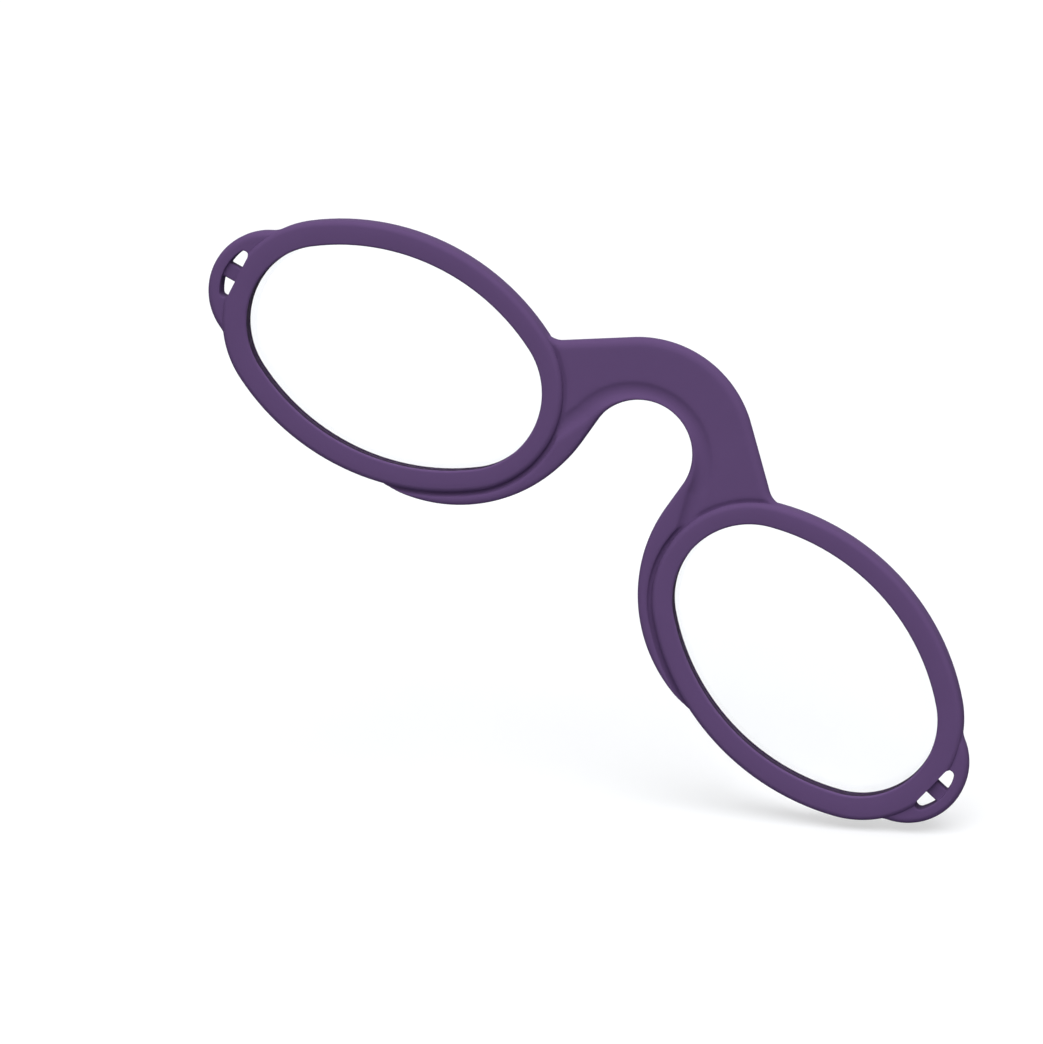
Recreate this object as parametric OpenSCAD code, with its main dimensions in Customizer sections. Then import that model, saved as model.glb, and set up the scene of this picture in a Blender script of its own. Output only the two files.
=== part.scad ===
// Armless reading glasses: two drooping oval eyes on a springy arch that grips the nose.
// Every solid is drawn flat in the plane of the face (x across, y up, z to the front)
// and then stood up as it is worn, with the origin where the arch sits on the nose.

/* [Fit on the face] */
// Distance between the inner ends of the two lens openings
inner_gap = 25.2; // [24:0.05:29]
// Width of the gap that the nose goes into
nose_gap = 13.4; // [12.4:0.1:14.2]
// Height of the centre of the arch above the line through the lens centres
arch_rise = 8.5; // [7:0.1:10]
// Angle by which each oval droops towards the temple
droop = 11.2; // [8:0.1:14]

/* [Lens opening] */
// Length of the oval opening
opening_w = 39.6; // [37:0.1:42]
// Height of the oval opening
opening_h = 25.7; // [24.5:0.1:27]
// Radius of the two tight ends of the oval
opening_end_r = 10; // [9:0.1:11]

/* [Rims] */
// Width of the rim's face
rim_w = 2.9; // [2.5:0.1:3.3]
// Thickness of the rim, front to back
rim_t = 3.6; // [3.2:0.1:4.4]
// Rounding of the rim's outer edges
rim_edge_r = 0.7; // [0.3:0.1:1.1]
// Rounding of the rim's inner edges
rim_lip_r = 0.4; // [0.2:0.1:0.7]

/* [Lenses] */
// Thickness of a lens at its centre
lens_t = 2; // [1.9:0.1:2.2]
// Radius of the bulging front of a lens
lens_front_r = 120; // [115:5:150]
// Radius of the hollow back of a lens
lens_back_r = 200; // [170:10:260]
// Depth of the lens's centre behind the front of the rim
lens_recess = 0.45; // [0.2:0.05:0.7]
// Height of the bevel that runs round the lens
bevel_h = 0.6; // [0.4:0.05:0.9]
// Thickness of the bevel at its foot
bevel_t = 0.6; // [0.4:0.05:0.65]
// Clearance between the lens and the rim
lens_fit = 0.04; // [0.02:0.01:0.08]

/* [Bridge] */
// Height of the bridge at its crown, from the nose to its upper edge
crown_h = 7.7; // [6.5:0.1:9]
// Angle from the crown at which the upper edge turns straight
crown_half_angle = 39; // [34:1:44]
// Thickness of the bridge's web
web_t = 2.2; // [1.8:0.1:2.6]
// Radius of the hollow corner where the upper edge meets a rim
corner_r = 1.2; // [0.6:0.1:2]

/* [Nose pads] */
// Width of the padded edge
pad_w = 2.4; // [2:0.1:2.8]
// Thickness of the padded edge
pad_t = 3; // [2.7:0.1:3.2]
// Rounding of the padded edge on the side of the nose
pad_nose_r = 1.3; // [0.8:0.1:1.3]
// Rounding of the padded edge on the side of the web
pad_back_r = 0.5; // [0.3:0.1:0.7]
// Radius of the curve that a pad follows down the side of the nose
pad_sweep_r = 19.45; // [17.5:0.05:22]
// Length of a pad's straight stretch beside the arch
pad_straight = 3.3; // [2:0.1:5]
// Angle above level at which a pad's upper end meets the bridge
pad_top_angle = 40; // [20:1:50]

/* [Loops] */
// Radius of the crescent loop's outer edge
loop_r = 7.8; // [7:0.1:8.4]
// How far the loop reaches past the rim
loop_reach = 3.2; // [2.9:0.1:3.6]
// Angle by which the loop sits above the oval's long axis
loop_tilt = 4; // [0:0.5:8]
// Thickness of the loop
loop_t = 2.2; // [1.8:0.1:2.6]
// Rounding of the loop's outer edges
loop_edge_r = 0.8; // [0.4:0.1:0.9]
// Width of the band round the loop's hole
loop_band = 1.6; // [1.4:0.1:1.9]
// Length of the hole
loop_hole_l = 7; // [5:0.1:7.6]
// Rounding of the hole's corners
loop_hole_r = 0.35; // [0.1:0.05:0.4]
// Width of the bar across the middle of the hole
loop_bar_w = 1.1; // [0.8:0.1:1.5]
// Thickness of the bar
loop_bar_t = 1.5; // [1:0.1:1.6]
// Radius of the hollow corners where the loop meets the rim
loop_corner_r = 3; // [1.5:0.1:5]

/* [Hidden] */
frame_colour = [0.35, 0.27, 0.42];
lens_colour = [0.85, 0.92, 0.96, 0.35];

// Four-centred oval: two end arcs and two side arcs that meet in tangents
oval_a = opening_w / 2;
oval_b = opening_h / 2;
end_offset = oval_a - opening_end_r;
side_r = (end_offset ^ 2 + oval_b ^ 2 - opening_end_r ^ 2) / (2 * (oval_b - opening_end_r));
side_offset = side_r - oval_b;
join_angle = atan2(side_offset, end_offset);

// Places in the plane of the face
eye_x = inner_gap / 2 + oval_a * cos(droop);
nose_r = nose_gap / 2;
crown_y = arch_rise + nose_r;
crown_r = nose_r + crown_h;
rim_end_r = opening_end_r + rim_w;
pad_centre_y = arch_rise - pad_straight;

// Upper edge of the bridge: where it turns straight, and the way it then runs
turn_point = [crown_r * sin(crown_half_angle), arch_rise + crown_r * cos(crown_half_angle)];
edge_along = [cos(crown_half_angle), -sin(crown_half_angle)];
edge_out = [sin(crown_half_angle), cos(crown_half_angle)];

// Hollow corner that touches the straight edge and the rim's tight end
rim_end = [eye_x, 0] + end_offset * [-cos(droop), sin(droop)];
corner_lift = (turn_point - rim_end) * edge_out + corner_r;
corner_back = sqrt((rim_end_r + corner_r) ^ 2 - corner_lift ^ 2);
corner = rim_end + corner_lift * edge_out - corner_back * edge_along;

// Lens, front to back, with the bevel level with the middle of its back
lens_front_z = rim_t / 2 - lens_recess;
lens_back_z = lens_front_z - lens_t;
groove_z = lens_back_z;
bevel_root = 0.05;

// Loop, measured from the middle of the rim's tight end
loop_x = rim_end_r + loop_reach - loop_r;
loop_hole_outer_r = loop_r - loop_band;
loop_corner_dx = (loop_x ^ 2 + (rim_end_r + loop_corner_r) ^ 2 - (loop_r + loop_corner_r) ^ 2)
    / (2 * loop_x);
loop_corner_dy = sqrt((rim_end_r + loop_corner_r) ^ 2 - loop_corner_dx ^ 2);
loop_turn = atan2(loop_corner_dy, loop_corner_dx - loop_x);

// How far the end arcs run on into the side arcs, in degrees, and how much finer they are
end_overlap = 2;
end_inset = 0.015;

// A cut runs this far past what it cuts
past = 1;

// What is left flat between the two roundings of a full round edge
hair = 0.001;

// Steps in the quarter turn of a rounded edge
edge_steps = 4;

// Stands the flat drawing up as worn, front to -Y, origin on the nose
module worn() {
    rotate([90, 0, 0]) translate([0, -crown_y, 0]) children();
}

// Side 1 is the wearer's left, at +X, and side -1 is its mirror image
module on_side(side) {
    mirror([side < 0 ? 1 : 0, 0, 0]) children();
}

// From the plane of the face to the middle of one oval, along its long axis
module at_eye() {
    translate([eye_x, 0, 0]) rotate([0, 0, -droop]) children();
}

// From the middle of one oval to the middle of the rim's tight end, turned as the loop is
module at_rim_end() {
    translate([end_offset, 0, 0]) rotate([0, 0, loop_tilt]) children();
}

// The opening's oval, grown by the given amount all round
module oval_2d(grow = 0) {
    for (end = [-1, 1])
        translate([end * end_offset, 0]) circle(r = opening_end_r + grow, $fn = 96);
    intersection() {
        translate([0, -side_offset]) circle(r = side_r + grow, $fn = 192);
        translate([0, side_offset]) circle(r = side_r + grow, $fn = 192);
        square([2 * (end_offset + (opening_end_r + grow) * cos(join_angle)), 4 * oval_b],
               center = true);
    }
}

// An upright wall or block with the oval's outline
module oval_block(grow, height) {
    linear_extrude(height = height, center = true) oval_2d(grow);
}

// Carries a section round the oval, with the section's x outwards from the opening's edge.
// The end arcs run on into the side arcs a hair finer than them, so that no faces coincide.
module oval_sweep() {
    end_turn = join_angle + end_overlap;
    for (turn = [0, 180])
        rotate([0, 0, turn]) {
            translate([end_offset, 0, 0]) rotate([0, 0, -end_turn])
                rotate_extrude(angle = 2 * end_turn, $fn = 96)
                    translate([opening_end_r, 0]) offset(delta = -end_inset) children();
            translate([0, -side_offset, 0]) rotate([0, 0, join_angle])
                rotate_extrude(angle = 180 - 2 * join_angle, $fn = 192)
                    translate([side_r, 0]) children();
        }
}

// Points along an arc, from one angle to another
function arc_points(centre, r, from, to) =
    [for (i = [0:edge_steps])
        let (angle = from + (to - from) * i / edge_steps)
        centre + r * [cos(angle), sin(angle)]];

// Outline of a bar's section from x = 0 to w, with one rounding on each side
function rounded_outline(w, t, r_low, r_high) = concat(
    arc_points([r_low, r_low - t / 2], r_low, 180, 270),
    arc_points([w - r_high, r_high - t / 2], r_high, 270, 360),
    arc_points([w - r_high, t / 2 - r_high], r_high, 0, 90),
    arc_points([r_low, t / 2 - r_low], r_low, 90, 180));

// The bevel's section, a wedge on the edge of the lens that starts a little inside it
module bevel_section() {
    root = -lens_fit - bevel_root;
    half = bevel_t / 2 * (bevel_h - root) / bevel_h;
    translate([0, groove_z]) polygon([[root, -half], [bevel_h, 0], [root, half]]);
}

// The rim's section, with the lens groove in its inner wall
module rim_section() {
    half = bevel_t / 2 + lens_fit;
    polygon(concat(rounded_outline(rim_w, rim_t, rim_lip_r, rim_edge_r),
        [[0, groove_z + half], [bevel_h + lens_fit, groove_z], [0, groove_z - half]]));
}

// A pad's section, with the nose at x = 0
module pad_section() {
    polygon(rounded_outline(pad_w, pad_t, pad_nose_r, pad_back_r));
}

// Carries a section round the arch, from one angle above level to another
module arch_sweep(from, to) {
    translate([0, arch_rise, 0]) rotate([0, 0, from])
        rotate_extrude(angle = to - from, $fn = 192) children();
}

// Takes a hollow corner out of a plate and rounds the edges that are left
module hollow_corner(r, t, edge_r) {
    rotate_extrude($fn = 64)
        polygon(concat([[0, -t], [r + edge_r, -t]],
            arc_points([r + edge_r, edge_r - t / 2], edge_r, 270, 180),
            arc_points([r + edge_r, t / 2 - edge_r], edge_r, 180, 90),
            [[r + edge_r, t], [0, t]]));
}

// The crescent that the loop's hole fills, between the rim and the loop's band
module loop_hole_2d() {
    offset(r = loop_hole_r, $fn = 24) offset(delta = -loop_hole_r) difference() {
        translate([loop_x, 0]) intersection() {
            circle(r = loop_hole_outer_r, $fn = 96);
            translate([-loop_r, -loop_hole_l / 2]) square([2 * loop_r, loop_hole_l]);
        }
        circle(r = rim_end_r, $fn = 96);
    }
}

// One hollow corner between the loop and the rim, with the ground behind it filled
module loop_corner() {
    centre = [loop_corner_dx, loop_corner_dy];
    to_loop = ([loop_x, 0] - centre) / (loop_r + loop_corner_r);
    to_end = -centre / (rim_end_r + loop_corner_r);
    behind = loop_corner_r + loop_edge_r;
    start = atan2(to_end.y, to_end.x);
    translate(concat(centre, 0)) rotate([0, 0, start])
        rotate_extrude(angle = atan2(to_loop.y, to_loop.x) - start, $fn = 96)
            translate([loop_corner_r, 0])
                polygon(rounded_outline(2 * behind, loop_t, loop_edge_r, loop_edge_r));
    linear_extrude(height = loop_t, center = true)
        polygon([centre + behind * to_end, centre + behind * to_loop, [loop_x, 0], [0, 0]]);
}

// The crescent loop at the temple end with its hole, still reaching into the opening
module loop_plate() {
    difference() {
        union() {
            translate([loop_x, 0, 0]) rotate([0, 0, -loop_turn])
                rotate_extrude(angle = 2 * loop_turn, $fn = 96)
                    polygon(concat([[0, -loop_t / 2]],
                        arc_points([loop_r - loop_edge_r, loop_edge_r - loop_t / 2], loop_edge_r, 270, 360),
                        arc_points([loop_r - loop_edge_r, loop_t / 2 - loop_edge_r], loop_edge_r, 0, 90),
                        [[0, loop_t / 2]]));
            loop_corner();
            mirror([0, 1, 0]) loop_corner();
        }
        linear_extrude(height = 2 * rim_t, center = true) loop_hole_2d();
    }
}

// The bar across the loop's hole
module loop_bar() {
    intersection() {
        translate([rim_end_r - rim_w / 2, -loop_bar_w / 2, -loop_bar_t / 2])
            cube([rim_w / 2 + loop_reach - loop_band / 2, loop_bar_w, loop_bar_t]);
        translate([loop_x, 0, 0]) cylinder(r = loop_r - loop_band / 2, h = rim_t, center = true, $fn = 96);
    }
}

module rim(side) {
    color(frame_colour) worn() on_side(side) at_eye() {
        oval_sweep() rim_section();
        difference() {
            at_rim_end() loop_plate();
            oval_block(rim_w / 2, 2 * rim_t);
        }
        at_rim_end() loop_bar();
    }
}

// A ball with its poles to the sides, so that its front is smooth
module ball(r) {
    rotate([90, 0, 0]) sphere(r = r, $fn = 480);
}

// Bulging in front, hollow behind, with the bevel round its edge
module lens(side) {
    color(lens_colour) worn() on_side(side) at_eye() {
        difference() {
            intersection() {
                oval_block(-lens_fit, 2 * rim_t);
                translate([0, 0, lens_front_z - lens_front_r]) ball(lens_front_r);
            }
            translate([0, 0, lens_back_z - lens_back_r]) ball(lens_back_r);
        }
        oval_sweep() bevel_section();
    }
}

// Everything inside the rim's outer wall, which belongs to the rim
module rim_ground() {
    at_eye() oval_block(rim_w, 2 * rim_t);
}

// A padded edge, from the bridge down the side of the nose until it runs into the rim
module nose_pad(side) {
    color(frame_colour) worn() on_side(side) difference() {
        union() {
            arch_sweep(0, pad_top_angle) translate([nose_r, 0]) pad_section();
            translate([nose_r, arch_rise, 0]) rotate([90, 0, 0])
                linear_extrude(height = pad_straight) pad_section();
            translate([nose_r + pad_sweep_r, pad_centre_y, 0]) rotate([0, 0, 180])
                rotate_extrude(angle = 90, $fn = 192)
                    translate([pad_sweep_r, 0]) mirror([1, 0]) pad_section();
        }
        rim_ground();
    }
}

// The nose gap's top and the ground that the pads cover, which the web leaves free
module pad_ground_2d() {
    translate([0, arch_rise]) circle(r = nose_r + pad_w / 2, $fn = 192);
    intersection() {
        translate([0, arch_rise]) circle(r = nose_r + pad_w, $fn = 192);
        polygon([[0, arch_rise], [2 * crown_r * cos(pad_top_angle), arch_rise + 2 * crown_r * sin(pad_top_angle)],
                 [2 * crown_r, arch_rise - past], [0, arch_rise - past]]);
    }
    translate([0, pad_centre_y - past]) square([nose_r + pad_w, pad_straight + past]);
    difference() {
        translate([0, pad_centre_y - 2 * pad_sweep_r]) square([2 * pad_sweep_r, 2 * pad_sweep_r]);
        translate([nose_r + pad_sweep_r, pad_centre_y]) circle(r = pad_sweep_r - pad_w, $fn = 192);
    }
}

// The web between the arch, its straight upper edge and the rim
module flank_2d() {
    edge_centre = turn_point - web_t / 2 * edge_out;
    difference() {
        polygon([[0, arch_rise], edge_centre, edge_centre + crown_r * edge_along,
                 [eye_x, 0], [eye_x - end_offset, -oval_b], [nose_r, -oval_b]]);
        pad_ground_2d();
    }
}

// Everything of the bridge beside its crown, up to the wall of the rim
module flank() {
    difference() {
        union() {
            linear_extrude(height = web_t, center = true) flank_2d();
            translate(concat(turn_point - web_t / 2 * edge_out, 0))
                rotate([0, 90, -crown_half_angle]) cylinder(r = web_t / 2, h = crown_r, $fn = 48);
            difference() {
                linear_extrude(height = web_t, center = true)
                    polygon([corner, corner - (corner_r + web_t) * edge_out, rim_end]);
                translate(concat(corner, 0)) hollow_corner(corner_r, web_t, web_t / 2 - hair);
            }
        }
        rim_ground();
    }
}

module web_section() {
    translate([nose_r + pad_w / 2, -web_t / 2]) square([crown_h - pad_w / 2 - web_t / 2, web_t]);
    translate([crown_r - web_t / 2, 0]) circle(r = web_t / 2, $fn = 48);
}

module bridge() {
    color(frame_colour) worn() {
        arch_sweep(90 - crown_half_angle, 90 + crown_half_angle) web_section();
        arch_sweep(pad_top_angle, 180 - pad_top_angle) translate([nose_r, 0]) pad_section();
        for (side = [-1, 1]) on_side(side) flank();
    }
}

module left_rim() { rim(1); }
module right_rim() { rim(-1); }
module left_nose_pad() { nose_pad(1); }
module right_nose_pad() { nose_pad(-1); }
module left_lens() { lens(1); }
module right_lens() { lens(-1); }

bridge();
left_rim();
right_rim();
left_nose_pad();
right_nose_pad();
left_lens();
right_lens();
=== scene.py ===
# Armless reading glasses in soft-touch purple: clear oval lenses in thick rims on a springy arch.
# Each piece is modelled flat in the plane of the face, in millimetres (x across, y up, z to the
# front), and is then stood up as it is worn, in metres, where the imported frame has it.
import math

import bpy
from mathutils import Matrix, Vector


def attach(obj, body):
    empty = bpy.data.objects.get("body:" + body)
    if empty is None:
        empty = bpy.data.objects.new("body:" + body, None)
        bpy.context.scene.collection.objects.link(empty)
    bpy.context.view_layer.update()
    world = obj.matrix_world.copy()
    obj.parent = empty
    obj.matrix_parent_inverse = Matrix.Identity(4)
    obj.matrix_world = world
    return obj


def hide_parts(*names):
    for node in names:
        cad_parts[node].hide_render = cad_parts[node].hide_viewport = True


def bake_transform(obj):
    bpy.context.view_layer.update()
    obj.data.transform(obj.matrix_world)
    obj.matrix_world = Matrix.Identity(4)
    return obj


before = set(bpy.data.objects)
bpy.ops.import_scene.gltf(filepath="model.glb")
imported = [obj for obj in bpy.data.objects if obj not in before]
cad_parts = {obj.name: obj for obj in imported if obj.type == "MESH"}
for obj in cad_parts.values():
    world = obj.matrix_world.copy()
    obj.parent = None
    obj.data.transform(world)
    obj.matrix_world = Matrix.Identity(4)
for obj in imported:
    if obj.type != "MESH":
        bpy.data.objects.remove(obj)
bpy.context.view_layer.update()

MM = 0.001

# Fit on the face, measured from the line through the lens centres. The frame's origin is above it.
EYE_X = 32.02
NOSE_R = 6.7
ARCH_Y = 8.8
CROWN_Y = ARCH_Y + NOSE_R
ORIGIN_Y = 15.2
DROOP = 11.2
ARCH = (0.0, ARCH_Y)

# The opening's four-centred oval
OVAL_A = 19.8
OVAL_B = 12.85
END_R = 10.0
END_OFFSET = OVAL_A - END_R
SIDE_R = (END_OFFSET**2 + OVAL_B**2 - END_R**2) / (2 * (OVAL_B - END_R))
SIDE_OFFSET = SIDE_R - OVAL_B
JOIN = math.degrees(math.atan2(SIDE_OFFSET, END_OFFSET))

# Rims, with the outline set a little towards the temple. What joins one is sunk by SEAT_DEPTH.
RIM_W = 2.9
RIM_T = 3.6
RIM_EDGE_R = 0.7
RIM_LIP_R = 0.3
RIM_SHIFT = 0.3
RIM_END_R = END_R + RIM_W
SEAT_DEPTH = 1.9

# Lenses
LENS_T = 2.0
LENS_FRONT_R = 120.0
LENS_BACK_R = 200.0
LENS_RECESS = 0.45
LENS_FRONT_Z = RIM_T / 2 - LENS_RECESS
LENS_BACK_Z = LENS_FRONT_Z - LENS_T
LENS_BLANK_R = 21.0
LENS_FIT = 0.04
LENS_SINK = 0.1
GROOVE_Z = LENS_BACK_Z
BEVEL_H = 0.6
BEVEL_HALF = 0.3

# Bridge
CROWN_R = 14.5
CROWN_HALF_ANGLE = 39.0
WEB_T = 2.2
WEB_EDGE_R = 1.0
CORNER_R = 2.6

# Padded edge round the nose
ROLL_T = 3.1
ROLL_AT_CROWN = 1.2
ROLL_AT_SIDE = 2.3
ROLL_NOSE_R = 0.5
PAD_CENTRE_Y = 5.2
PAD_SWEEP_R = 19.45
PAD_TOP_ANGLE = 40.0
WEB_TIP_Y = 5.2

# Valley between the roll and the web, and crease between them and the rim
VALLEY_R = 1.8
VALLEY_DEPTH = 0.25
VALLEY_END = 4.5
CREASE_R = 0.55
CREASE_DEPTH = 0.25

# Loops
LOOP_X = 7.95
LOOP_R = 7.8
LOOP_T = 2.8
LOOP_EDGE_R = 0.8
LOOP_CORNER_R = 3.0
LOOP_TILT = 4.0
HOLE_R = 6.2
HOLE_X = 12.2
HOLE_HALF_L = 3.3
HOLE_CORNER_R = 0.6
BAR_W = 1.9
BAR_T = 1.7
BAR_EDGE_R = 0.2
BAR_SINK = 0.8

# Fineness: degrees for each step of an arc, and what counts as one point, as flat and as smooth
ARC_STEP = 2.0
OVAL_STEP = 2.4
SAME_POINT = 0.001
SLACK = 0.1
LOOP_VOXEL = 0.09
BRIDGE_VOXEL = 0.12
SMOOTH_ANGLE = math.radians(35)

# Half of the bridge is modelled this many degrees past its middle, and then cut there
PAST_MIDDLE = 8.0


def deselect():
    """Nothing selected, because the loaded frame is."""
    bpy.ops.object.select_all(action="DESELECT")


def only(obj):
    """Selects one object alone and makes it active."""
    deselect()
    obj.select_set(True)
    bpy.context.view_layer.objects.active = obj


def polar(centre, radius, degrees):
    """The point at an angle on a circle."""
    angle = math.radians(degrees)
    return (centre[0] + radius * math.cos(angle), centre[1] + radius * math.sin(angle))


def angle_of(centre, point):
    """The angle at which a point lies round a centre, in degrees."""
    return math.degrees(math.atan2(point[1] - centre[1], point[0] - centre[0]))


def place(obj, matrix):
    """Puts a piece in its place and takes the place into its mesh."""
    only(obj)
    obj.matrix_world = matrix
    bpy.ops.object.transform_apply(location=True, rotation=True, scale=True)


def tidy_normals():
    """Merges doubles and turns every face outwards, in edit mode."""
    bpy.ops.mesh.select_all(action="SELECT")
    bpy.ops.mesh.remove_doubles(threshold=SAME_POINT)
    bpy.ops.mesh.normals_make_consistent(inside=False)


def draw(name, start, moves, upright=False, step=ARC_STEP):
    """Draws a chain of edges, and leaves it in edit mode.

    A move is a point to run to, or a centre and an angle to turn round it.
    The drawing lies in the plane of x and y, or of x and z if it is upright.
    """
    deselect()
    bpy.ops.mesh.primitive_plane_add(size=1)
    obj = bpy.context.object
    obj.name = name
    bpy.ops.object.mode_set(mode="EDIT")
    bpy.ops.mesh.merge(type="CENTER")

    def in_space(x, y):
        return (x, 0, y) if upright else (x, y, 0)

    bpy.ops.transform.translate(value=in_space(*start))
    axis = (0, -1, 0) if upright else (0, 0, 1)
    x, y = start
    for move in moves:
        if isinstance(move[0], tuple):
            centre, degrees = move
            # The spin tool turns clockwise for a positive angle
            bpy.ops.mesh.spin(
                steps=max(2, math.ceil(abs(degrees) / step)),
                angle=-math.radians(degrees),
                center=in_space(*centre),
                axis=axis,
            )
            radius = math.hypot(x - centre[0], y - centre[1])
            x, y = polar(centre, radius, angle_of(centre, (x, y)) + degrees)
        else:
            run = in_space(move[0] - x, move[1] - y)
            bpy.ops.mesh.extrude_vertices_move(TRANSFORM_OT_translate={"value": run})
            x, y = move
    bpy.ops.mesh.select_all(action="SELECT")
    bpy.ops.mesh.remove_doubles(threshold=SAME_POINT)
    return obj


def thicken(thickness):
    """Closes a drawn outline with a face and gives it a thickness, half to each side."""
    bpy.ops.mesh.edge_face_add()
    bpy.ops.mesh.extrude_region_move(TRANSFORM_OT_translate={"value": (0, 0, thickness)})
    bpy.ops.mesh.select_all(action="SELECT")
    bpy.ops.transform.translate(value=(0, 0, -thickness / 2))
    tidy_normals()
    bpy.ops.object.mode_set(mode="OBJECT")


def round_edges(obj, radius, wanted, segments=5):
    """Bevels those edges of a plate's two faces whose middles are wanted."""
    only(obj)
    mesh = obj.data
    for part in (mesh.polygons, mesh.vertices):
        for item in part:
            item.select = False
    for edge in mesh.edges:
        a, b = (mesh.vertices[i].co for i in edge.vertices)
        edge.select = abs(a.z - b.z) < SLACK and wanted((a + b) / 2)
    picking = bpy.context.tool_settings
    picking.mesh_select_mode = (False, True, False)
    bpy.ops.object.mode_set(mode="EDIT")
    bpy.ops.mesh.bevel(offset=radius, segments=segments, profile=0.5, affect="EDGES")
    picking.mesh_select_mode = (True, False, False)
    bpy.ops.object.mode_set(mode="OBJECT")


def modify(obj, kind, **settings):
    """Adds a modifier and applies it."""
    only(obj)
    modifier = obj.modifiers.new(kind.lower(), kind)
    for key, value in settings.items():
        setattr(modifier, key, value)
    bpy.ops.object.modifier_apply(modifier=modifier.name)


def cut(obj, tool, operation="DIFFERENCE", keep_tool=False):
    """A boolean of a piece with a tool, which then goes."""
    modify(obj, "BOOLEAN", operation=operation, solver="EXACT", object=tool)
    if not keep_tool:
        bpy.data.objects.remove(tool, do_unlink=True)


def join(first, *others):
    """Joins pieces into the first."""
    only(first)
    for other in others:
        other.select_set(True)
    bpy.ops.object.join()


def copy_of(obj):
    """A copy of a piece with a mesh of its own."""
    only(obj)
    bpy.ops.object.duplicate()
    return bpy.context.object


def mirrored(obj, axis=(1, 0, 0)):
    """The mirror image of a piece."""
    twin = copy_of(obj)
    place(twin, Matrix.Scale(-1, 4, axis))
    bpy.ops.object.mode_set(mode="EDIT")
    bpy.ops.mesh.select_all(action="SELECT")
    bpy.ops.mesh.normals_make_consistent(inside=False)
    bpy.ops.object.mode_set(mode="OBJECT")
    return twin


def shade(obj):
    """Smooth shading, with sharp edges where the shape has them."""
    only(obj)
    bpy.ops.object.shade_smooth_by_angle(angle=SMOOTH_ANGLE)


STAND_UP = (
    Matrix.Scale(MM, 4)
    @ Matrix.Rotation(math.pi / 2, 4, "X")
    @ Matrix.Translation((0, -ORIGIN_Y, 0))
)
EYE_IN_FACE = Matrix.Translation((EYE_X, 0, 0)) @ Matrix.Rotation(math.radians(-DROOP), 4, "Z")
AT_EYE = STAND_UP @ EYE_IN_FACE
AT_RIM_END = Matrix.Translation((END_OFFSET + RIM_SHIFT, 0, 0)) @ Matrix.Rotation(
    math.radians(LOOP_TILT), 4, "Z"
)


def carry_round_oval():
    """Spins the section that is selected round the oval's four centres, from the temple end."""
    bpy.ops.mesh.select_all(action="SELECT")
    arcs = [
        (END_OFFSET, 0, JOIN),
        (0, -SIDE_OFFSET, 180 - 2 * JOIN),
        (-END_OFFSET, 0, 2 * JOIN),
        (0, SIDE_OFFSET, 180 - 2 * JOIN),
        (END_OFFSET, 0, JOIN),
    ]
    for x, y, degrees in arcs:
        bpy.ops.mesh.spin(
            steps=math.ceil(degrees / OVAL_STEP),
            angle=-math.radians(degrees),
            center=(x, y, 0),
            axis=(0, 0, 1),
        )


def outside_opening(x, y):
    """How far a point lies outside the opening's edge, in the plane of the oval."""
    x, y = abs(x), abs(y)
    if math.degrees(math.atan2(y, x - END_OFFSET)) < JOIN:
        return math.hypot(x - END_OFFSET, y) - END_R
    return math.hypot(x, y + SIDE_OFFSET) - SIDE_R


def make_ring():
    """The oval rim with its lens groove, from a section with rounded edges."""
    front = RIM_T / 2
    inner = OVAL_A
    outer = OVAL_A + RIM_W
    half = BEVEL_HALF + LENS_FIT
    bottom = (inner + BEVEL_H + LENS_FIT, GROOVE_Z)
    moves = [
        (inner, GROOVE_Z - half),
        (inner, RIM_LIP_R - front),
        ((inner + RIM_LIP_R, RIM_LIP_R - front), 90),
        ((inner + outer) / 2, -front),
        (outer - RIM_EDGE_R, -front),
        ((outer - RIM_EDGE_R, RIM_EDGE_R - front), 90),
        (outer, front - RIM_EDGE_R),
        ((outer - RIM_EDGE_R, front - RIM_EDGE_R), 90),
        ((inner + outer) / 2, front),
        (inner + RIM_LIP_R, front),
        ((inner + RIM_LIP_R, front - RIM_LIP_R), 90),
        (inner, GROOVE_Z + half),
        bottom,
    ]
    ring = draw("ring", bottom, moves, upright=True, step=15)
    carry_round_oval()
    tidy_normals()
    bpy.ops.mesh.select_all(action="DESELECT")
    bpy.ops.object.mode_set(mode="OBJECT")
    # The outer wall moves towards the temple as a whole
    for vertex in ring.data.vertices:
        vertex.select = outside_opening(vertex.co.x, vertex.co.y) > RIM_W * 0.6
    bpy.ops.object.mode_set(mode="EDIT")
    bpy.ops.transform.translate(value=(RIM_SHIFT, 0, 0))
    bpy.ops.object.mode_set(mode="OBJECT")
    return ring


def make_hole_tool():
    """What is cut for the loop's hole: straight beside the rim, round beside the band."""
    r = HOLE_CORNER_R
    far = HOLE_HALF_L - r
    end_x = LOOP_X + math.sqrt((HOLE_R - r) ** 2 - far**2)
    turn = angle_of((LOOP_X, 0), (end_x, far))
    moves = [
        (HOLE_X, -far),
        ((HOLE_X + r, -far), 90),
        (end_x, -HOLE_HALF_L),
        ((end_x, -far), 90 - turn),
        ((LOOP_X, 0), 2 * turn),
        ((end_x, far), 90 - turn),
        (HOLE_X + r, HOLE_HALF_L),
        ((HOLE_X + r, far), 90),
    ]
    tool = draw("hole_tool", (HOLE_X, far), moves, step=6)
    thicken(2 * RIM_T)
    return tool


def make_bar():
    """The bar across the loop's hole."""
    start = HOLE_X - BAR_SINK
    end = LOOP_X + HOLE_R + BAR_SINK
    bpy.ops.mesh.primitive_cube_add(size=1)
    bar = bpy.context.object
    size = Matrix.Diagonal((end - start, BAR_W, BAR_T, 1))
    place(bar, Matrix.Translation(((start + end) / 2, 0, 0)) @ size)
    modify(bar, "BEVEL", width=BAR_EDGE_R, segments=3)
    return bar


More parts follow.
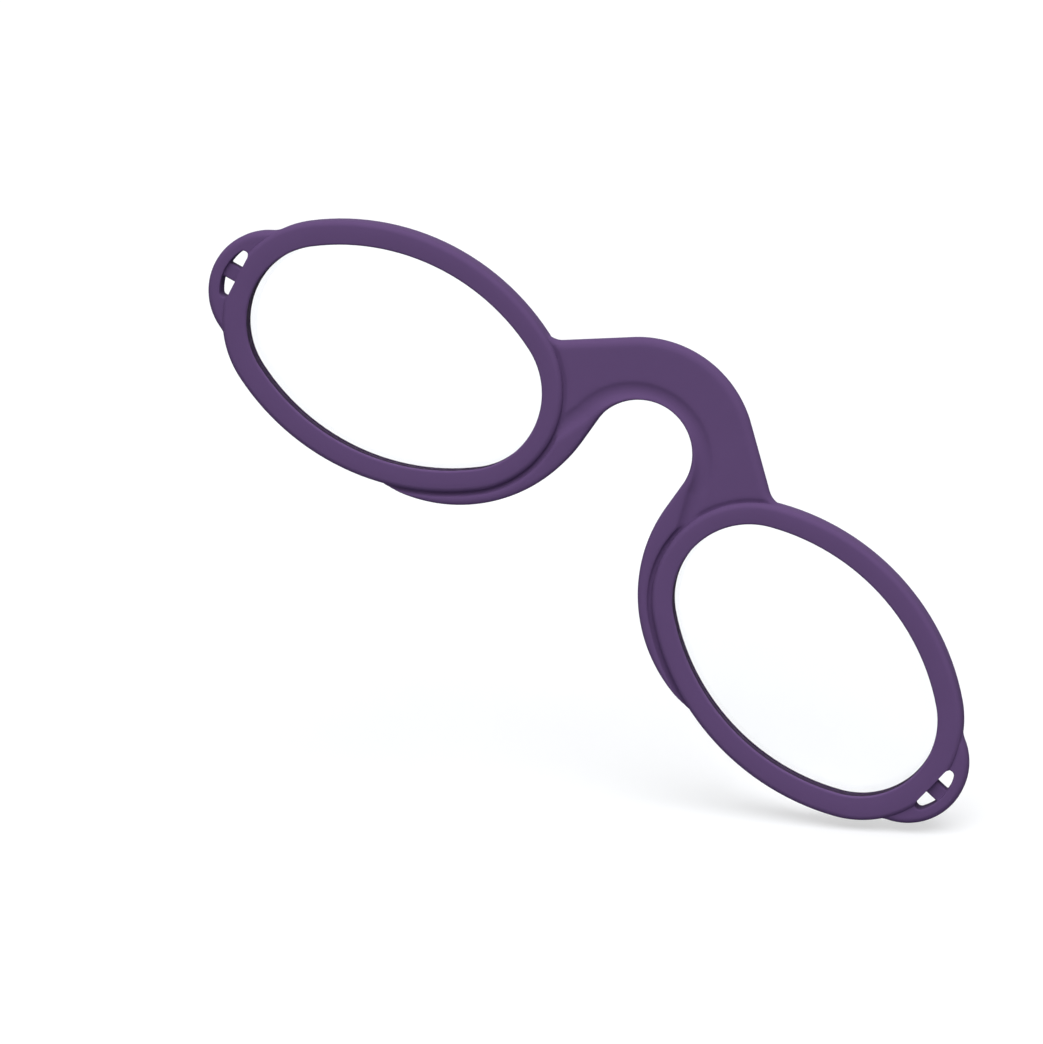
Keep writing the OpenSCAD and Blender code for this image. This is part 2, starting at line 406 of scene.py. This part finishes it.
def make_loop():
    """The crescent loop at the temple end, rounded at its edge, with its hole and the bar across it."""
    reach = RIM_END_R + LOOP_CORNER_R
    corner_x = (LOOP_X**2 + reach**2 - (LOOP_R + LOOP_CORNER_R) ** 2) / (2 * LOOP_X)
    corner_y = math.sqrt(reach**2 - corner_x**2)
    low, high = (corner_x, -corner_y), (corner_x, corner_y)
    out = angle_of((0, 0), high)
    at_loop = angle_of((LOOP_X, 0), high)
    corner_turn = angle_of(high, (0, 0)) - angle_of(high, (LOOP_X, 0))
    inner = RIM_END_R - SEAT_DEPTH
    moves = [
        polar((0, 0), RIM_END_R, -out),
        (low, corner_turn),
        ((LOOP_X, 0), 2 * at_loop),
        (high, corner_turn),
        polar((0, 0), inner, out),
        ((0, 0), -2 * out),
    ]
    loop = draw("loop", polar((0, 0), inner, -out), moves, step=4)
    thicken(LOOP_T)
    round_edges(loop, LOOP_EDGE_R, lambda m: math.hypot(m.x, m.y) > RIM_END_R - SLACK)
    cut(loop, make_hole_tool())
    join(loop, make_bar())
    modify(loop, "REMESH", mode="VOXEL", voxel_size=LOOP_VOXEL)
    modify(loop, "SMOOTH", factor=0.5, iterations=6)
    place(loop, AT_RIM_END)
    return loop


def make_rim():
    """One rim with its loop."""
    ring = make_ring()
    hole = make_hole_tool()
    place(hole, AT_RIM_END)
    cut(ring, hole)
    shade(ring)
    loop = make_loop()
    shade(loop)
    join(ring, loop)
    place(ring, AT_EYE)
    return ring


def make_lens():
    """A clear lens, bulging in front, hollow behind, with a bevel round its edge."""
    front_turn = math.degrees(math.asin(LENS_BLANK_R / LENS_FRONT_R))
    back_turn = math.degrees(math.asin(LENS_BLANK_R / LENS_BACK_R))
    front_centre = (0, LENS_FRONT_Z - LENS_FRONT_R)
    back_centre = (0, LENS_BACK_Z - LENS_BACK_R)
    moves = [
        (front_centre, -front_turn),
        polar(back_centre, LENS_BACK_R, 90 - back_turn),
        (back_centre, back_turn),
    ]
    lens = draw("lens", (0, LENS_FRONT_Z), moves, upright=True, step=0.4)
    bpy.ops.mesh.spin(
        steps=round(360 / ARC_STEP), angle=2 * math.pi, center=(0, 0, 0), axis=(0, 0, 1)
    )
    tidy_normals()
    bpy.ops.object.mode_set(mode="OBJECT")
    # Its edge is sunk a little into the rim, whose wall so shows through the clear plastic
    edge = OVAL_A + LENS_SINK
    ends = 2 * RIM_T
    moves = [
        (edge, GROOVE_Z - BEVEL_HALF),
        (OVAL_A + BEVEL_H, GROOVE_Z),
        (edge, GROOVE_Z + BEVEL_HALF),
        (edge, ends),
    ]
    block = draw("lens_block", (edge, -ends), moves, upright=True)
    carry_round_oval()
    tidy_normals()
    for side in (-1, 1):
        bpy.ops.mesh.select_all(action="DESELECT")
        bpy.ops.object.mode_set(mode="OBJECT")
        for vertex in block.data.vertices:
            vertex.select = vertex.co.z * side > RIM_T
        bpy.ops.object.mode_set(mode="EDIT")
        bpy.ops.mesh.edge_face_add()
    tidy_normals()
    bpy.ops.object.mode_set(mode="OBJECT")
    cut(lens, block, "INTERSECT")
    place(lens, AT_EYE)
    shade(lens)
    return lens


def on_face(x, y):
    """A place of the oval's own plane, in the plane of the face."""
    turn = math.radians(DROOP)
    return (EYE_X + x * math.cos(turn) + y * math.sin(turn), y * math.cos(turn) - x * math.sin(turn))


RIM_END = on_face(RIM_SHIFT - END_OFFSET, 0)
RIM_SIDE = on_face(RIM_SHIFT, SIDE_OFFSET)
LOWER_JOIN = 180 + JOIN - DROOP

# The roll's back: a circle from the crown to the side, and a line on to the web's tip
WEB_TIP = (RIM_END[0] - math.sqrt(RIM_END_R**2 - (WEB_TIP_Y - RIM_END[1]) ** 2), WEB_TIP_Y)
ROLL_SIDE = (NOSE_R + ROLL_AT_SIDE, ARCH_Y)
ROLL_CROWN = CROWN_Y + ROLL_AT_CROWN
ROLL_BACK = (0.0, (ROLL_CROWN**2 - ROLL_SIDE[0] ** 2 - ARCH_Y**2) / (2 * (ROLL_CROWN - ARCH_Y)))
ROLL_BACK_R = ROLL_CROWN - ROLL_BACK[1]


def make_web():
    """Half of the bridge's web, from a little past the middle of the crown to the rim."""
    half = math.radians(CROWN_HALF_ANGLE)
    out = Vector((math.sin(half), math.cos(half)))
    along = Vector((math.cos(half), -math.sin(half)))
    turn_point = Vector(ARCH) + CROWN_R * out
    end = Vector(RIM_END)
    lift = (turn_point - end).dot(out) + CORNER_R
    back = math.sqrt((RIM_END_R + CORNER_R) ** 2 - lift**2)
    corner = end + lift * out - back * along
    foot = corner - CORNER_R * out
    corner_turn = angle_of(corner, end) - angle_of(corner, foot)
    inner = RIM_END_R - SEAT_DEPTH
    top = angle_of(end, corner)
    low = 185
    roll_mid = NOSE_R + ROLL_AT_CROWN / 2
    moves = [
        (ARCH, -CROWN_HALF_ANGLE - PAST_MIDDLE),
        tuple(foot),
        (tuple(corner), corner_turn),
        polar(RIM_END, inner, top),
        (RIM_END, low - top),
        (roll_mid, polar(RIM_END, inner, low)[1]),
        (roll_mid, ARCH_Y),
        (ARCH, 90 + PAST_MIDDLE),
    ]
    web = draw("web", polar(ARCH, CROWN_R, 90 + PAST_MIDDLE), moves)
    thicken(WEB_T)

    def upper_edge(m):
        from_arch = math.hypot(m.x, m.y - ARCH_Y)
        from_end = math.hypot(m.x - RIM_END[0], m.y - RIM_END[1])
        return from_arch > CROWN_R - SLACK and from_end > RIM_END_R - SLACK

    round_edges(web, WEB_EDGE_R, upper_edge, segments=6)
    return web


def make_roll():
    """Half of the rounded roll that lies on the nose, down to where it meets the rim."""
    sweep = (NOSE_R + PAD_SWEEP_R, PAD_CENTRE_Y)
    inner_side = SIDE_R + RIM_W - SEAT_DEPTH
    inner_end = RIM_END_R - SEAT_DEPTH
    bottom = (sweep[0], PAD_CENTRE_Y - PAD_SWEEP_R)
    bottom_angle = angle_of(RIM_SIDE, bottom) % 360
    tip_turn = 180 - math.degrees(math.asin((WEB_TIP_Y - RIM_END[1]) / inner_end))
    moves = [
        (ARCH, -90 - PAST_MIDDLE),
        (NOSE_R, PAD_CENTRE_Y),
        (sweep, 90),
        polar(RIM_SIDE, inner_side, bottom_angle),
        (RIM_SIDE, LOWER_JOIN - bottom_angle),
        polar(RIM_END, inner_end, LOWER_JOIN),
        (RIM_END, tip_turn - LOWER_JOIN),
        WEB_TIP,
        ROLL_SIDE,
        (ROLL_BACK, 90 + PAST_MIDDLE - angle_of(ROLL_BACK, ROLL_SIDE)),
    ]
    roll = draw("roll", polar(ARCH, NOSE_R, 90 + PAST_MIDDLE), moves)
    thicken(ROLL_T)

    def nose_edge(m):
        if m.y > ARCH_Y:
            return abs(math.hypot(m.x, m.y - ARCH_Y) - NOSE_R) < SLACK
        if m.y > PAD_CENTRE_Y:
            return abs(m.x - NOSE_R) < SLACK
        return abs(math.hypot(m.x - sweep[0], m.y - sweep[1]) - PAD_SWEEP_R) < SLACK

    round_edges(roll, ROLL_NOSE_R, nose_edge)
    return roll


def make_valley():
    """A tube along the roll's back, which is cut out between the roll and the web."""
    bpy.ops.mesh.primitive_circle_add(vertices=32, radius=VALLEY_R, rotation=(0, math.pi / 2, 0))
    valley = bpy.context.object
    start = polar(ROLL_BACK, ROLL_BACK_R, 90 + PAST_MIDDLE)
    turn = Matrix.Rotation(math.radians(PAST_MIDDLE), 4, "Z")
    height = WEB_T / 2 - VALLEY_DEPTH + VALLEY_R
    place(valley, Matrix.Translation((*start, height)) @ turn @ valley.matrix_world)
    bpy.ops.object.mode_set(mode="EDIT")
    bpy.ops.mesh.select_all(action="SELECT")
    degrees = 90 + PAST_MIDDLE - angle_of(ROLL_BACK, ROLL_SIDE)
    bpy.ops.mesh.spin(
        steps=math.ceil(degrees / ARC_STEP),
        angle=math.radians(degrees),
        center=(*ROLL_BACK, 0),
        axis=(0, 0, 1),
    )
    # It runs on past the web's tip, and so sinks slowly into the rim
    run = Vector((WEB_TIP[0] - ROLL_SIDE[0], WEB_TIP[1] - ROLL_SIDE[1], 0))
    run *= (run.length + VALLEY_END) / run.length
    bpy.ops.mesh.extrude_region_move(TRANSFORM_OT_translate={"value": run})
    bpy.ops.mesh.select_all(action="SELECT")
    bpy.ops.mesh.fill_holes(sides=0)
    tidy_normals()
    bpy.ops.object.mode_set(mode="OBJECT")
    return valley


def make_crease():
    """A thin tube round the rim's outer wall, which is cut out of what meets the wall."""
    height = WEB_T / 2 - CREASE_DEPTH + CREASE_R
    bpy.ops.mesh.primitive_circle_add(
        vertices=16,
        radius=CREASE_R,
        location=(OVAL_A + RIM_W, 0, height),
        rotation=(math.pi / 2, 0, 0),
    )
    crease = bpy.context.object
    bpy.ops.object.mode_set(mode="EDIT")
    carry_round_oval()
    tidy_normals()
    bpy.ops.object.mode_set(mode="OBJECT")
    place(crease, EYE_IN_FACE @ Matrix.Translation((RIM_SHIFT, 0, 0)) @ crease.matrix_world)
    return crease


def make_pad_tool():
    """The ground of a pad: the roll below its upper end, out to the rim."""
    inside, outside = NOSE_R - 1.5, 30.0
    below, under_rim = -20.0, -9.0
    within_rim = RIM_END_R - SEAT_DEPTH - SLACK
    behind_roll = NOSE_R + ROLL_AT_SIDE + 0.2
    above_tip = WEB_TIP_Y + 0.3
    top_in_rim = 170
    moves = [
        (ARCH, -PAD_TOP_ANGLE),
        (inside, PAD_CENTRE_Y),
        (inside, below),
        (outside, below),
        (outside, under_rim),
        polar(RIM_END, within_rim, LOWER_JOIN),
        (RIM_END, top_in_rim - LOWER_JOIN),
        (RIM_END[0] - RIM_END_R, above_tip),
        (behind_roll, ARCH_Y),
        (ARCH, PAD_TOP_ANGLE),
    ]
    tool = draw("pad_tool", polar(ARCH, inside, PAD_TOP_ANGLE), moves)
    thicken(2 * RIM_T)
    return tool


def make_bridge_half():
    """Half of the bridge and the pad below it, moulded together and then parted."""
    half = make_web()
    roll = make_roll()
    for front in (make_valley(), make_crease()):
        for tool in (mirrored(front, (0, 0, 1)), front):
            cut(half, tool, keep_tool=True)
            cut(roll, tool)
    join(half, roll)
    modify(half, "REMESH", mode="VOXEL", voxel_size=BRIDGE_VOXEL)
    modify(half, "SMOOTH", factor=0.5, iterations=8)
    # Front to back only, so that the valley is soft and the outline stays
    modify(half, "SMOOTH", factor=0.5, iterations=30, use_x=False, use_y=False)
    bpy.ops.object.mode_set(mode="EDIT")
    bpy.ops.mesh.select_all(action="SELECT")
    bpy.ops.mesh.bisect(plane_co=(0, 0, 0), plane_no=(1, 0, 0), clear_inner=True, use_fill=True)
    bpy.ops.object.mode_set(mode="OBJECT")
    tool = make_pad_tool()
    pad = copy_of(half)
    cut(pad, tool, "INTERSECT", keep_tool=True)
    cut(half, tool)
    for piece in (half, pad):
        place(piece, STAND_UP)
        shade(piece)
    return half, pad


# Materials

SKIN = (0.128, 0.074, 0.188, 1.0)
# Painted shade: a darker purple for the rim's inner wall round the lens, standing in for the shade that
# lies there
WALL_PAINTED_SHADE = (0.032, 0.018, 0.046, 1.0)


def socket(group, name, kind, direction, value=None):
    """One socket of a node group."""
    made = group.interface.new_socket(name=name, in_out=direction, socket_type=kind)
    if value is not None:
        made.default_value = value


def moulded_skin_group():
    """Soft mottling and fine grain of a moulded soft-touch skin."""
    group = bpy.data.node_groups.new("moulded_skin", "ShaderNodeTree")
    socket(group, "Colour", "NodeSocketColor", "INPUT", SKIN)
    socket(group, "Mottle", "NodeSocketFloat", "INPUT", 0.08)
    socket(group, "Mottle scale", "NodeSocketFloat", "INPUT", 170.0)
    socket(group, "Grain scale", "NodeSocketFloat", "INPUT", 5200.0)
    socket(group, "Roughness", "NodeSocketFloat", "INPUT", 0.5)
    socket(group, "Roughness spread", "NodeSocketFloat", "INPUT", 0.1)
    socket(group, "Colour", "NodeSocketColor", "OUTPUT")
    socket(group, "Roughness", "NodeSocketFloat", "OUTPUT")
    socket(group, "Height", "NodeSocketFloat", "OUTPUT")
    nodes, links = group.nodes, group.links
    enter = nodes.new("NodeGroupInput")
    leave = nodes.new("NodeGroupOutput")
    where = nodes.new("ShaderNodeTexCoord")
    mottle = nodes.new("ShaderNodeTexNoise")
    mottle.inputs["Detail"].default_value = 3.0
    grain = nodes.new("ShaderNodeTexNoise")
    grain.inputs["Detail"].default_value = 2.0
    for noise, scale in ((mottle, "Mottle scale"), (grain, "Grain scale")):
        links.new(where.outputs["Object"], noise.inputs["Vector"])
        links.new(enter.outputs[scale], noise.inputs["Scale"])
    shift = nodes.new("ShaderNodeMath")
    shift.operation = "SUBTRACT"
    shift.inputs[1].default_value = 0.5
    links.new(mottle.outputs["Fac"], shift.inputs[0])
    amount = nodes.new("ShaderNodeMath")
    amount.operation = "MULTIPLY_ADD"
    amount.inputs[2].default_value = 1.0
    links.new(shift.outputs[0], amount.inputs[0])
    links.new(enter.outputs["Mottle"], amount.inputs[1])
    tint = nodes.new("ShaderNodeVectorMath")
    tint.operation = "SCALE"
    links.new(enter.outputs["Colour"], tint.inputs[0])
    links.new(amount.outputs[0], tint.inputs["Scale"])
    links.new(tint.outputs["Vector"], leave.inputs["Colour"])
    rough = nodes.new("ShaderNodeMath")
    rough.operation = "MULTIPLY_ADD"
    links.new(shift.outputs[0], rough.inputs[0])
    links.new(enter.outputs["Roughness spread"], rough.inputs[1])
    links.new(enter.outputs["Roughness"], rough.inputs[2])
    links.new(rough.outputs[0], leave.inputs["Roughness"])
    links.new(grain.outputs["Fac"], leave.inputs["Height"])
    return group


SKIN_GROUP = moulded_skin_group()


def skin_material(name, colour, roughness, grain_depth):
    """A moulded soft-touch finish."""
    material = bpy.data.materials.new(name)
    material.use_nodes = True
    nodes, links = material.node_tree.nodes, material.node_tree.links
    shader = nodes["Principled BSDF"]
    skin = nodes.new("ShaderNodeGroup")
    skin.node_tree = SKIN_GROUP
    skin.inputs["Colour"].default_value = colour
    skin.inputs["Roughness"].default_value = roughness
    bump = nodes.new("ShaderNodeBump")
    bump.inputs["Strength"].default_value = 0.25
    bump.inputs["Distance"].default_value = grain_depth * MM
    links.new(skin.outputs["Colour"], shader.inputs["Base Color"])
    links.new(skin.outputs["Roughness"], shader.inputs["Roughness"])
    links.new(skin.outputs["Height"], bump.inputs["Height"])
    links.new(bump.outputs["Normal"], shader.inputs["Normal"])
    shader.inputs["Specular IOR Level"].default_value = 0.05
    return material


def straight_ray(nodes, links):
    """One where the camera looks straight on or through a lens, and nought for other light."""
    path = nodes.new("ShaderNodeLightPath")
    either = nodes.new("ShaderNodeMath")
    either.operation = "MAXIMUM"
    links.new(path.outputs["Is Camera Ray"], either.inputs[0])
    links.new(path.outputs["Is Transmission Ray"], either.inputs[1])
    return either.outputs[0]


def lens_material():
    """Clear polished plastic with the faintest haze of handling."""
    material = bpy.data.materials.new("clear_lens")
    material.use_nodes = True
    nodes, links = material.node_tree.nodes, material.node_tree.links
    shader = nodes["Principled BSDF"]
    shader.inputs["Transmission Weight"].default_value = 1.0
    shader.inputs["IOR"].default_value = 1.49
    skin = nodes.new("ShaderNodeGroup")
    skin.node_tree = SKIN_GROUP
    skin.inputs["Colour"].default_value = (0.985, 0.99, 0.995, 1.0)
    skin.inputs["Mottle"].default_value = 0.01
    skin.inputs["Roughness"].default_value = 0.012
    skin.inputs["Roughness spread"].default_value = 0.02
    links.new(skin.outputs["Colour"], shader.inputs["Base Color"])
    links.new(skin.outputs["Roughness"], shader.inputs["Roughness"])
    return material


def dress(obj, name, material, node):
    """Names a piece, gives it its finish and hides the CAD node it stands for."""
    obj.name = name
    obj.data.name = name
    obj.data.materials.clear()
    obj.data.materials.append(material)
    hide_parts(node)


def paint_shade_on_wall(rim, material):
    """Paints shade on the wall round the lens, deep in the rim: its faces get a darker copy of the
    finish.
    """
    rim.data.materials.append(material)
    to_eye = AT_EYE.inverted()
    for face in rim.data.polygons:
        x, y, z = to_eye @ Vector((abs(face.center.x), face.center.y, face.center.z))
        if outside_opening(x, y) < BEVEL_H + SLACK and abs(z) < RIM_T / 2 - RIM_LIP_R:
            face.material_index = 1


# The glasses: each rim and lens rides its eye, and the bridge halves and pads are baked in place

frame_skin = skin_material("soft_touch_frame", SKIN, 0.8, 0.03)
pad_skin = skin_material("soft_touch_pad", SKIN, 0.85, 0.03)
# The same finish in the darker colour, as painted shade on the rim's inner wall
wall_painted_shade = skin_material("rim_inner_wall_painted_shade", WALL_PAINTED_SHADE, 0.8, 0.03)
clear = lens_material()

left = [make_rim(), make_lens(), *make_bridge_half()]
right = [mirrored(piece) for piece in left]
for side, outward, (rim, lens, half, pad) in (("left", 1, left), ("right", -1, right)):
    eye = f"{side}_eye"
    dress(rim, f"{side}_rim_moulding", frame_skin, f"{side}_rim")
    # Painted shade on the rim's inner wall round the lens
    paint_shade_on_wall(rim, wall_painted_shade)
    dress(lens, f"{side}_lens_clear", clear, f"{side}_lens")
    dress(half, f"bridge_{side}_half", frame_skin, "bridge")
    dress(pad, f"{side}_pad_roll", pad_skin, f"{side}_nose_pad")
    lens.visible_shadow = False
    for piece in (rim, lens):
        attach(piece, eye)
    for piece in (half, pad):
        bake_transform(piece)

# Camera, as the photograph was taken

RIGHT = Vector((0.8039, 0.1857, 0.5650)).normalized()
FORWARD = Vector((-0.0491, 0.9675, -0.2481)).normalized()
UP = RIGHT.cross(FORWARD)
camera_data = bpy.data.cameras.new("camera")
camera_data.lens = 180.06
camera_data.sensor_width = 36.0
camera_data.clip_start = 0.01
camera = bpy.data.objects.new("camera", camera_data)
bpy.context.collection.objects.link(camera)
camera.matrix_world = Matrix.Translation((0.02536, -0.63693, 0.14048)) @ Matrix(
    (RIGHT, UP, -FORWARD)
).transposed().to_4x4()
bpy.context.scene.camera = camera

# Floor, pitched as the photograph's table is against the glasses, and clear from below.
# It leaves room for the eyes to be pinched together about the bridge's crown.

FLOOR_PITCH = math.radians(20)
FLOOR_SIZE = 12
FLOOR_GAP = 0.05
HINGE_Z = 3.85
PINCH = math.radians(2)
floor_up = (math.cos(FLOOR_PITCH) * UP - math.sin(FLOOR_PITCH) * FORWARD).normalized()


def lowest_along(direction):
    """How low the pinched glasses reach along a direction."""
    hinge = Matrix.Translation((0, 0, HINGE_Z * MM))
    return min(
        direction.dot(hinge @ Matrix.Rotation(turn, 4, "Y") @ hinge.inverted() @ vertex.co)
        for pieces, turn in ((left, PINCH), (right, -PINCH))
        for obj in pieces
        for vertex in obj.data.vertices
    )


def floor_material():
    """Pale and plain, and seen only from above."""
    material = bpy.data.materials.new("pale_floor")
    material.use_nodes = True
    nodes, links = material.node_tree.nodes, material.node_tree.links
    shader = nodes["Principled BSDF"]
    shader.inputs["Roughness"].default_value = 0.9
    shader.inputs["Specular IOR Level"].default_value = 0.1
    # It throws less light back up than it shows, as the table in the photograph does
    seen = straight_ray(nodes, links)
    tone = nodes.new("ShaderNodeMix")
    tone.data_type = "RGBA"
    tone.inputs["A"].default_value = (0.22, 0.23, 0.25, 1.0)
    tone.inputs["B"].default_value = (0.47, 0.48, 0.5, 1.0)
    links.new(seen, tone.inputs["Factor"])
    shader.inputs["Emission Color"].default_value = (0.52, 0.52, 0.515, 1.0)
    links.new(seen, shader.inputs["Emission Strength"])
    links.new(tone.outputs["Result"], shader.inputs["Base Color"])
    from_below = nodes.new("ShaderNodeBsdfTransparent")
    side = nodes.new("ShaderNodeNewGeometry")
    mix = nodes.new("ShaderNodeMixShader")
    links.new(side.outputs["Backfacing"], mix.inputs["Fac"])
    links.new(shader.outputs["BSDF"], mix.inputs[1])
    links.new(from_below.outputs["BSDF"], mix.inputs[2])
    links.new(mix.outputs["Shader"], nodes["Material Output"].inputs["Surface"])
    return material


floor_height = lowest_along(floor_up)
deselect()
bpy.ops.mesh.primitive_plane_add(size=FLOOR_SIZE)
floor = bpy.context.object
floor.name = "floor"
floor_turn = floor_up.to_track_quat("Z", "Y").to_matrix().to_4x4()
place(floor, Matrix.Translation(floor_up * (floor_height - FLOOR_GAP * MM)) @ floor_turn)
floor.data.materials.append(floor_material())

# Light: an even pale surround and soft lamps from above, as the photograph has


def make_surround():
    """A dim even surround that the camera sees as white."""
    world = bpy.data.worlds.new("surround")
    world.use_nodes = True
    nodes, links = world.node_tree.nodes, world.node_tree.links
    even = nodes["Background"]
    seen = nodes.new("ShaderNodeBackground")
    for light, strength in ((even, 0.25), (seen, 1.0)):
        light.inputs["Color"].default_value = (1.0, 1.0, 1.0, 1.0)
        light.inputs["Strength"].default_value = strength
    mix = nodes.new("ShaderNodeMixShader")
    links.new(straight_ray(nodes, links), mix.inputs["Fac"])
    links.new(even.outputs["Background"], mix.inputs[1])
    links.new(seen.outputs["Background"], mix.inputs[2])
    links.new(mix.outputs["Shader"], nodes["World Output"].inputs["Surface"])
    return world


def sun(name, away, strength, spread):
    """A soft lamp that shines in one direction, away from where it stands."""
    data = bpy.data.lights.new(name, "SUN")
    data.energy = strength
    data.angle = math.radians(spread)
    lamp = bpy.data.objects.new(name, data)
    lamp.rotation_mode = "QUATERNION"
    lamp.rotation_quaternion = away.to_track_quat("-Z", "Y")
    bpy.context.collection.objects.link(lamp)


bpy.context.scene.world = make_surround()
sun("key_light", -(0.75 * UP + 0.1 * RIGHT - 0.65 * FORWARD), 2.3, 55)
sun("fill_light", -(0.2 * UP - 0.5 * RIGHT - 0.8 * FORWARD), 0.7, 80)
sun("back_light", -(0.5 * UP + 0.8 * FORWARD), 1.0, 80)

bpy.context.scene.view_settings.view_transform = "Standard"
